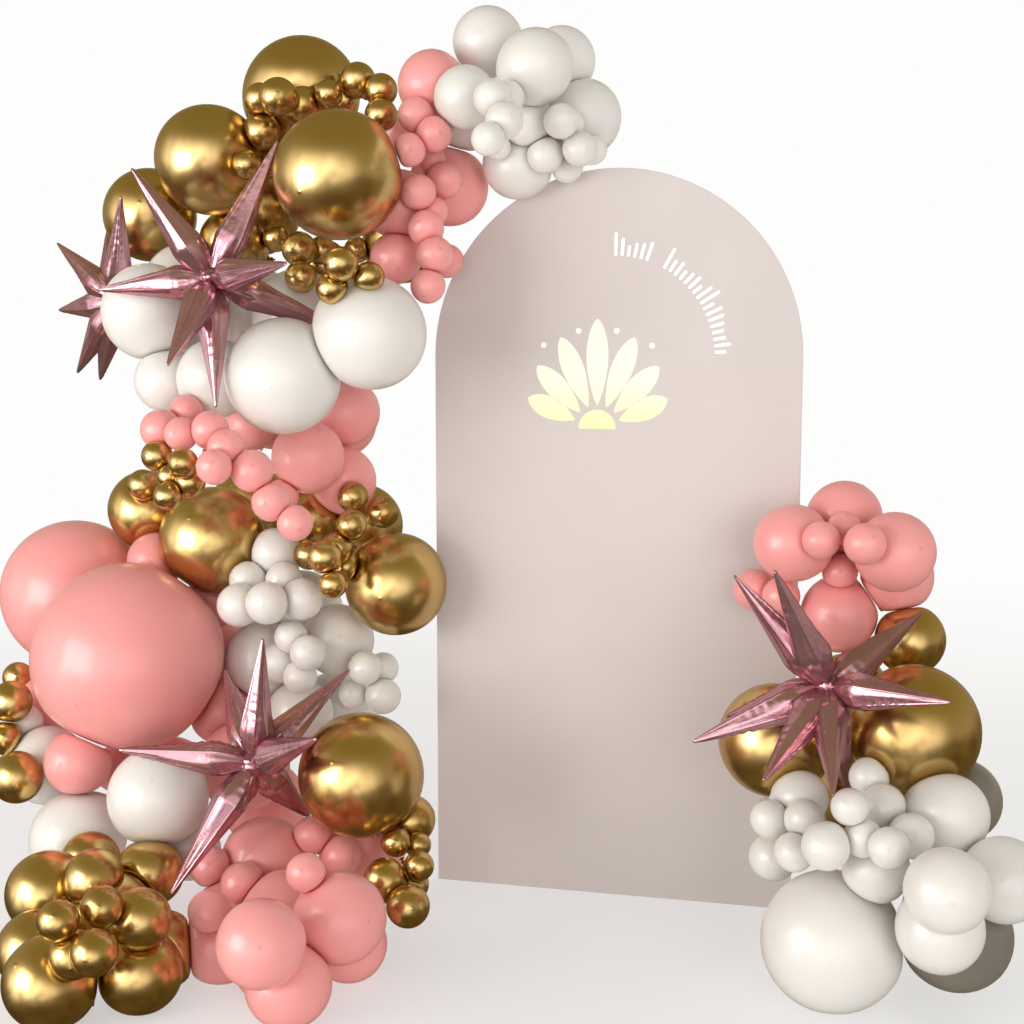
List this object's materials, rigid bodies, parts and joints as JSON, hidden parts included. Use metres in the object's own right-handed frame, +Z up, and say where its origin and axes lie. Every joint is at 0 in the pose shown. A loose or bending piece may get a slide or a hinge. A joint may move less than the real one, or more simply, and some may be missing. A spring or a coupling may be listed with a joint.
{
  "type": "balloon arch",
  "caption": "Balloon garland in gold, pink and white with foil burst stars, climbing from the floor over the shoulder of a round-topped board, with a lower garland at its other edge.",
  "frame": {"origin": "middle of the board's underside, on the floor", "axes": "+Z up, +X along the board's width towards the lower garland, -Y the way the board's face looks"},
  "size_m": [2.94, 1.6266, 2.4298],
  "materials": {
    "white_latex": "ivory white latex, soft gloss, slightly see-through at the rim",
    "pink_latex": "dusty pink latex, soft gloss",
    "gold_latex": "chrome-effect gold latex, satin mirror gloss",
    "foil": "rose gold metallised film, mirror gloss with creases",
    "board": "matte pinkish beige paint on sheet board"
  },
  "bodies": {
    "root": {"arch_board": "board", "gold_band_back": "gold_latex", "gold_band_beads_left": "gold_latex", "gold_band_beads_right": "gold_latex", "gold_band_beads_right_b": "gold_latex", "gold_band_beads_right_c": "gold_latex", "gold_band_left": "gold_latex", "gold_band_middle": "gold_latex", "gold_band_right": "gold_latex", "gold_column_left": "gold_latex", "gold_column_right": "gold_latex", "gold_column_top": "gold_latex", "gold_crown_back": "gold_latex", "gold_crown_beads_low": "gold_latex", "gold_crown_beads_low_b": "gold_latex", "gold_crown_left": "gold_latex", "gold_crown_right": "gold_latex", "gold_foot_back": "gold_latex", "gold_foot_front": "gold_latex", "gold_left_edge": "gold_latex", "gold_left_edge_b": "gold_latex", "gold_left_edge_c": "gold_latex", "gold_low": "gold_latex", "gold_low_beads": "gold_latex", "gold_shoulder": "gold_latex", "pink_band_beads": "pink_latex", "pink_band_beads_b": "pink_latex", "pink_column_right": "pink_latex", "pink_foot_back": "pink_latex", "pink_foot_back_b": "pink_latex", "pink_foot_beads": "pink_latex", "pink_giant_back": "pink_latex", "pink_giant_front": "pink_latex", "pink_hanging_beads": "pink_latex", "pink_under_giant": "pink_latex", "pink_under_giant_b": "pink_latex", "pink_upper": "pink_latex", "pink_upper_b": "pink_latex", "pink_upper_c": "pink_latex", "star_column": "foil", "star_middle": "foil", "star_upper": "foil", "star_upper_back": "foil", "white_band": "white_latex", "white_band_beads": "white_latex", "white_band_beads_right": "white_latex", "white_column_beads_left": "white_latex", "white_column_beads_left_b": "white_latex", "white_column_front": "white_latex", "white_column_right": "white_latex", "white_left_edge": "white_latex", "white_low": "white_latex", "white_low_b": "white_latex", "white_shoulder_front": "white_latex", "white_shoulder_left": "white_latex", "white_top": "white_latex", "white_top_b": "white_latex", "white_top_beads_left": "white_latex", "white_top_c": "white_latex", "white_top_d": "white_latex"}
  },
  "joints": []
}
